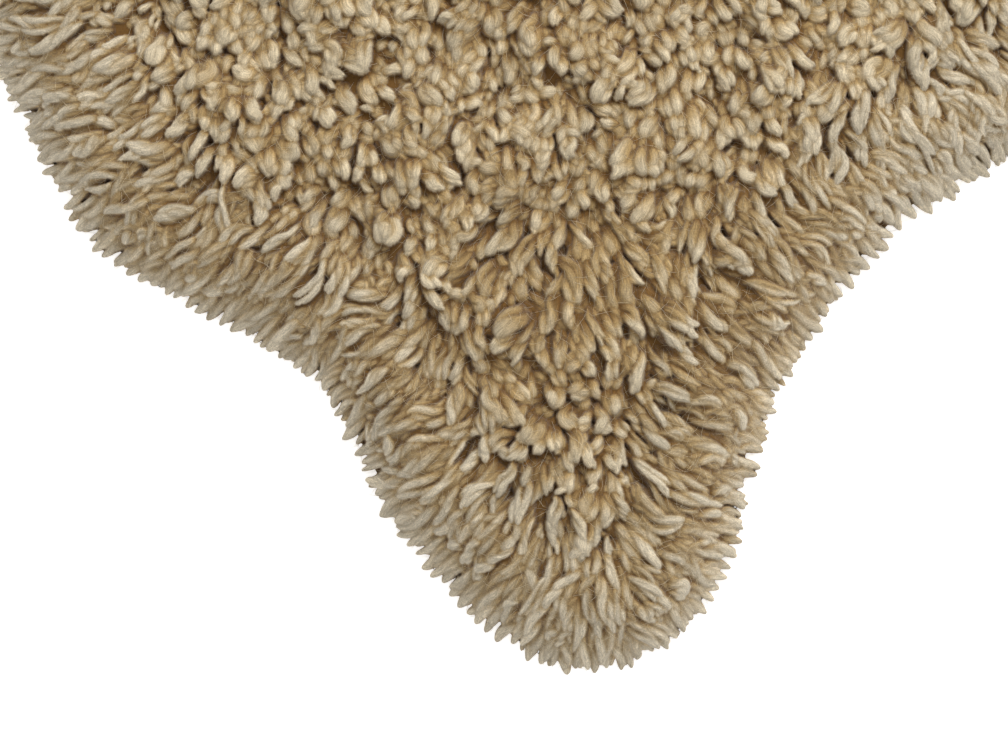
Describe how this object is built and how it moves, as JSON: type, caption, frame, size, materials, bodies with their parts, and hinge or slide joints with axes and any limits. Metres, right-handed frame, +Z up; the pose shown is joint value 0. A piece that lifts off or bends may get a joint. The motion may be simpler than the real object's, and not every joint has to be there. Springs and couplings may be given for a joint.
{
  "type": "hide-shaped shag wool rug",
  "caption": "Flat deep-pile wool rug in the rounded outline of an animal hide, with a lumpy pile and pointed locks that lie outwards all round its rim.",
  "frame": {"origin": "on the floor, under the middle of the rug's bounding box", "axes": "+Y along the hide from its neck to its tail, which is the rug's longest way; +X to the hide's right-hand side in the top view; +Z up out of the floor"},
  "size_m": [0.7456, 1.0938, 0.0394],
  "materials": {
    "wool_pile": "undyed beige wool in loose curly locks, matt"
  },
  "bodies": {
    "root": {"rug": "wool_pile"}
  },
  "joints": []
}
